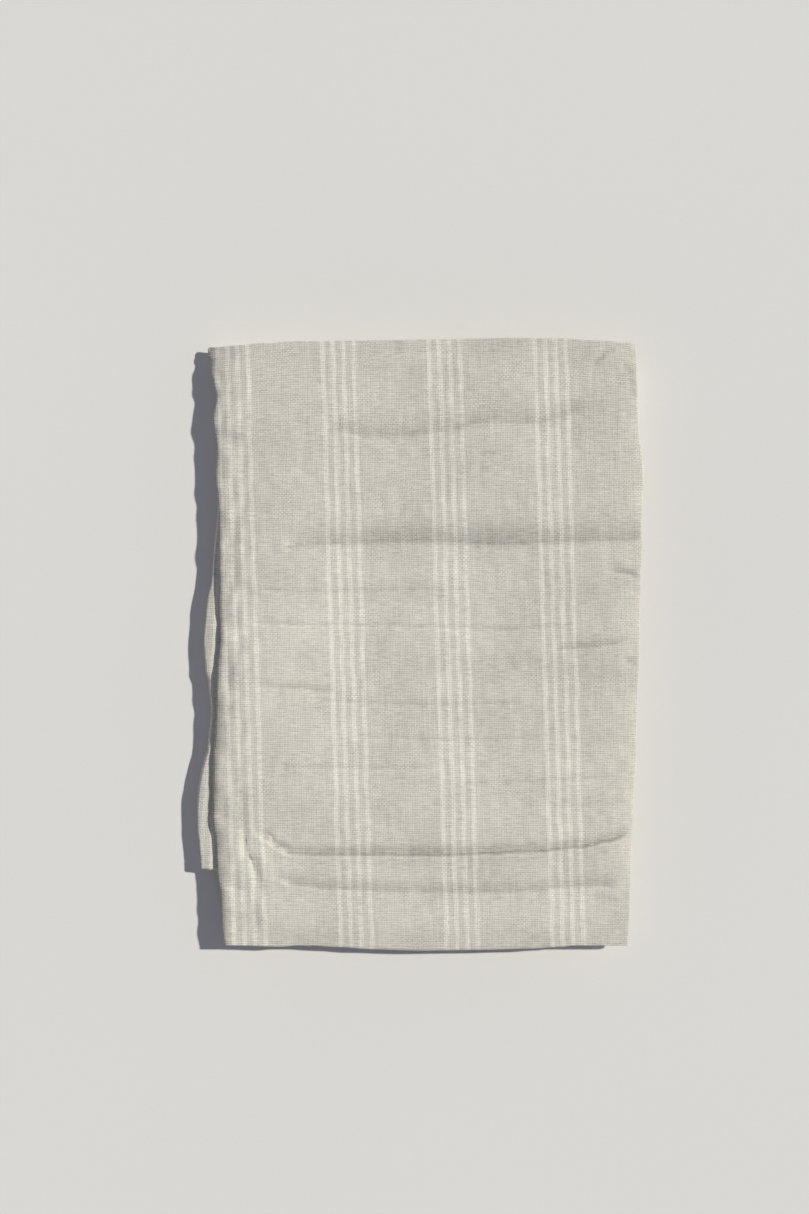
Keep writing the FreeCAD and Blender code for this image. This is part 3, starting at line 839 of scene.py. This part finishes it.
def lay_map(section, cloth, points, s):
    """Cloth coordinates of a section: the stripes lie slightly askew, and stay straight where a side strays.
    v runs on from section to section."""
    slant = STRIPE_SLANT.get(section.number, LOWER_SLANT * (-1) ** section.number)
    placed = cloth.copy()
    width = cloth[0, :, 0]
    onward = np.gradient(s, width)
    shift = (points[..., :2] - section.middle) @ section.across - s
    placed[..., 0] += slant * points[..., 1] + shift * onward
    placed[..., 1] += WEAVE_STEP * section.number
    return placed


def make_cloth(section):
    """The two strands of a section."""
    top = section.number == 7
    made = {}
    for strand in STRANDS:
        dense = [y - section.middle[1] for y in FINE_ROWS_AT] if top else ()
        trim = HEM_DEPTH if section.number == 1 else 0.0
        steps = (FINE, HIDDEN, FINE) if top else (COARSE, COARSE, COARSE)
        points, cloth, dark = strand_grid(section, strand, *steps, dense, trim)
        s, _, _ = cloth_columns(section, strand, *steps[:2])
        name = f"gauze_{section.number}_{strand}"
        piece = shell(name, points, lay_map(section, cloth, points, s), GAUZE_THICKNESS, dark)
        nodes = [f"section_{section.number}_{strand}_cloth"]
        if strand == "outer" and section.number <= 6:
            nodes.append(f"fold_crease_{section.number}")
        made[strand] = dress(piece, "gauze", section.number, *nodes)
    return made


def place_in(section, s, t, h):
    """World positions, strayed, of points given across, along and above the section."""
    shifted = s + section.side_shift(s, t)
    plan = section.middle + shifted[..., None] * section.across + t[..., None] * section.forward
    x, y, z, _ = stray(section, s, plan, section.height(h))
    return np.stack([x, y, z], axis=-1)


def make_hem(section, strand):
    """The turned-in end of a strand, with a row of stitches along its inner edge."""
    s, h, width = cloth_columns(section, strand, COARSE, COARSE)
    deep = np.linspace(HEM_DEPTH, 0, HEM_ROWS + 1)[::-1]
    t = section.reach(s, False)[None, :] + deep[:, None]
    s_grid, h_grid = np.broadcast_to(s, t.shape), np.broadcast_to(h, t.shape)
    points = place_in(section, s_grid, t, h_grid)
    roll = np.sqrt(np.clip(deep / HEM_ROLL, 0.15, 1))
    seam = 1 - 0.35 * np.exp(-(((deep - HEM_SEAM) / SEAM_HALF) ** 2))
    cloth = np.stack(np.broadcast_arrays(width[None, :], t), axis=-1)
    piece = shell(f"hem_{strand}", points, cloth, HEM_THICKNESS * roll * seam, np.zeros(t.shape))
    return dress(piece, "gauze", section.number, f"{strand}_tail_hem")


STITCH_PITCH = 2.6 * MM
STITCH_POINTS = 8
THREAD_RADIUS = 0.09 * MM
OVERLOCK_MARGIN = 7 * MM  # between the thread and the folds
LEAF_SHARE = 0.36  # of a loop's height that one leaf of its tape takes
LEAF_COLUMNS, LOOP_ROWS = 7, 13


def make_overlock(section):
    """Thread whipped over the four long edges of a section."""
    far, near = section.middle_reach(False), section.middle_reach(True)
    turns = int((near - far - 2 * OVERLOCK_MARGIN) / STITCH_PITCH)
    t = far + OVERLOCK_MARGIN + np.arange(turns * STITCH_POINTS) * STITCH_PITCH / STITCH_POINTS
    angle = np.arange(turns * STITCH_POINTS) * math.tau / STITCH_POINTS
    paths = []
    for _, tucked, flap in STRANDS.values():
        edges = ((section.half - section.inset, 1, flap), (-section.half + section.inset, -1, tucked))
        for edge, way, layer in edges:
            s = edge + way * OVERLOCK_WIDTH * (0.35 + 0.5 * np.cos(angle))
            h = layer_height(layer) + 0.1 * MM * np.sin(angle)
            paths.append(place_in(section, s, t, h))
    piece = tubes(f"overlock_{section.number}", paths, THREAD_RADIUS)
    node = f"section_{section.number}_rail_overlock"
    return dress(piece, "thread", section.number, node)


def make_loop(name, section, node, slot, reach, length, height, way):
    """A short loop of tape sewn to a long edge, folded once so that its two leaves lie together."""
    low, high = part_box(node)
    centre = np.array([(low.x + high.x) / 2, (low.y + high.y) / 2]) - section.middle
    s0, t0 = centre @ section.across, centre @ section.forward
    leaf = height * LEAF_SHARE
    lift = (height - leaf) / 2
    run = np.linspace(-reach / 2, reach / 2 - lift, LEAF_COLUMNS)
    bend = np.linspace(-math.pi / 2, math.pi / 2, LEAF_COLUMNS)[1:-1]
    s = np.concatenate([run, run[-1] + lift * np.cos(bend), run[::-1]])
    h = np.concatenate([np.full(LEAF_COLUMNS, -lift), lift * np.sin(bend), np.full(LEAF_COLUMNS, lift)])
    lengthwise = np.linspace(-length / 2, length / 2, LOOP_ROWS)
    t = np.broadcast_to((t0 + lengthwise)[:, None], (LOOP_ROWS, len(s)))
    middle_z = (low.z + high.z) / 2 - section.base
    middle_h = SECTION_HEIGHT - middle_z if section.smooth_up else middle_z
    points = place_in(section, np.broadcast_to(s0 + way * s, t.shape), t,
                      np.broadcast_to(middle_h + h, t.shape))
    run_length = np.concatenate([[0], np.cumsum(np.hypot(np.diff(s), np.diff(h)))])
    cloth = np.stack(np.broadcast_arrays(run_length[None, :], lengthwise[:, None]), axis=-1)
    piece = shell(name, points, cloth, leaf)
    return dress(piece, slot, section.number, node)


FLOOR_HALF = 40.0


def make_floor():
    corners = [(x * FLOOR_HALF, y * FLOOR_HALF, 0) for x, y in ((-1, -1), (1, -1), (1, 1), (-1, 1))]
    floor = mesh_object("floor", corners, [(0, 1, 2, 3)])
    floor.data.materials.append(floor_material())
    return floor


# ---- camera and light

PHOTO_CENTRE = (-6.9 * MM, 21.4 * MM)
VIEW_HEIGHT = 0.6745  # what the picture takes in, at the packet's top
LENS, SENSOR = 85.0, 36.0
SUN_TOWARDS = (0.673, 0.186, 0.716)
SUN_COLOUR = (1.0, 0.966, 0.86)
SUN_STRENGTH = 3.05
SUN_WIDTH = math.radians(2.2)
SKY_ABOVE = (0.168, 0.174, 0.210)
SKY_LOW = (0.600, 0.598, 0.585)
SKY_BAND = (0.05, 0.45)  # sines of the elevations between which the sky turns from low to above


def make_camera():
    data = bpy.data.cameras.new("camera")
    data.lens, data.sensor_width = LENS, SENSOR
    data.clip_start, data.clip_end = 0.05, 50.0
    camera = add_object("camera", data)
    camera.location = (*PHOTO_CENTRE, PACKET_TOP + VIEW_HEIGHT * LENS / SENSOR)
    bpy.context.scene.camera = camera


def make_light():
    data = bpy.data.lights.new("sun", "SUN")
    data.energy, data.color, data.angle = SUN_STRENGTH, SUN_COLOUR, SUN_WIDTH
    sun = add_object("sun", data)
    x, y, z = SUN_TOWARDS
    sun.rotation_euler = (0, math.acos(z / math.hypot(x, y, z)), math.atan2(y, x))
    world = bpy.data.worlds.new("sky")
    world.use_nodes = True
    tree = world.node_tree
    background = next(n for n in tree.nodes if n.type == "BACKGROUND")
    direction = tree.nodes.new("ShaderNodeTexCoord").outputs["Generated"]
    parts = tree.nodes.new("ShaderNodeSeparateXYZ")
    share = tree.nodes.new("ShaderNodeMapRange")
    share.interpolation_type = "SMOOTHSTEP"
    share.inputs["From Min"].default_value, share.inputs["From Max"].default_value = SKY_BAND
    mix = tree.nodes.new("ShaderNodeMix")
    mix.data_type = "RGBA"
    mix.inputs[6].default_value, mix.inputs[7].default_value = (*SKY_LOW, 1.0), (*SKY_ABOVE, 1.0)
    for start, end in ((direction, parts.inputs[0]), (parts.outputs[2], share.inputs[0]),
                       (share.outputs[0], mix.inputs[0]), (mix.outputs[2], background.inputs["Color"])):
        tree.links.new(start, end)
    bpy.context.scene.world = world
    bpy.context.scene.view_settings.view_transform = "Standard"


make_camera()
make_light()
below = make_floor()
for number, section in PACKET.items():
    cloth = make_cloth(section)
    trim = {"outer": [make_overlock(section)], "inner": []}
    if number == 1:
        for strand in STRANDS:
            trim[strand].append(make_hem(section, strand))
        trim["inner"].append(make_loop("label", section, "care_label", "label_tape",
                                       4 * MM, 30 * MM, 0.5 * MM, -1))
    if number == 7:
        for edge, way, strand in (("flap", 1, "outer"), ("tucked", -1, "inner")):
            trim[strand].append(make_loop(f"marker_{edge}", section, f"middle_marker_{edge}_rail",
                                          "marker_tape", 8 * MM, 18 * MM, 0.6 * MM, way))
    length = float(section.middle_reach(True) - section.middle_reach(False))
    below = cloth["outer"]
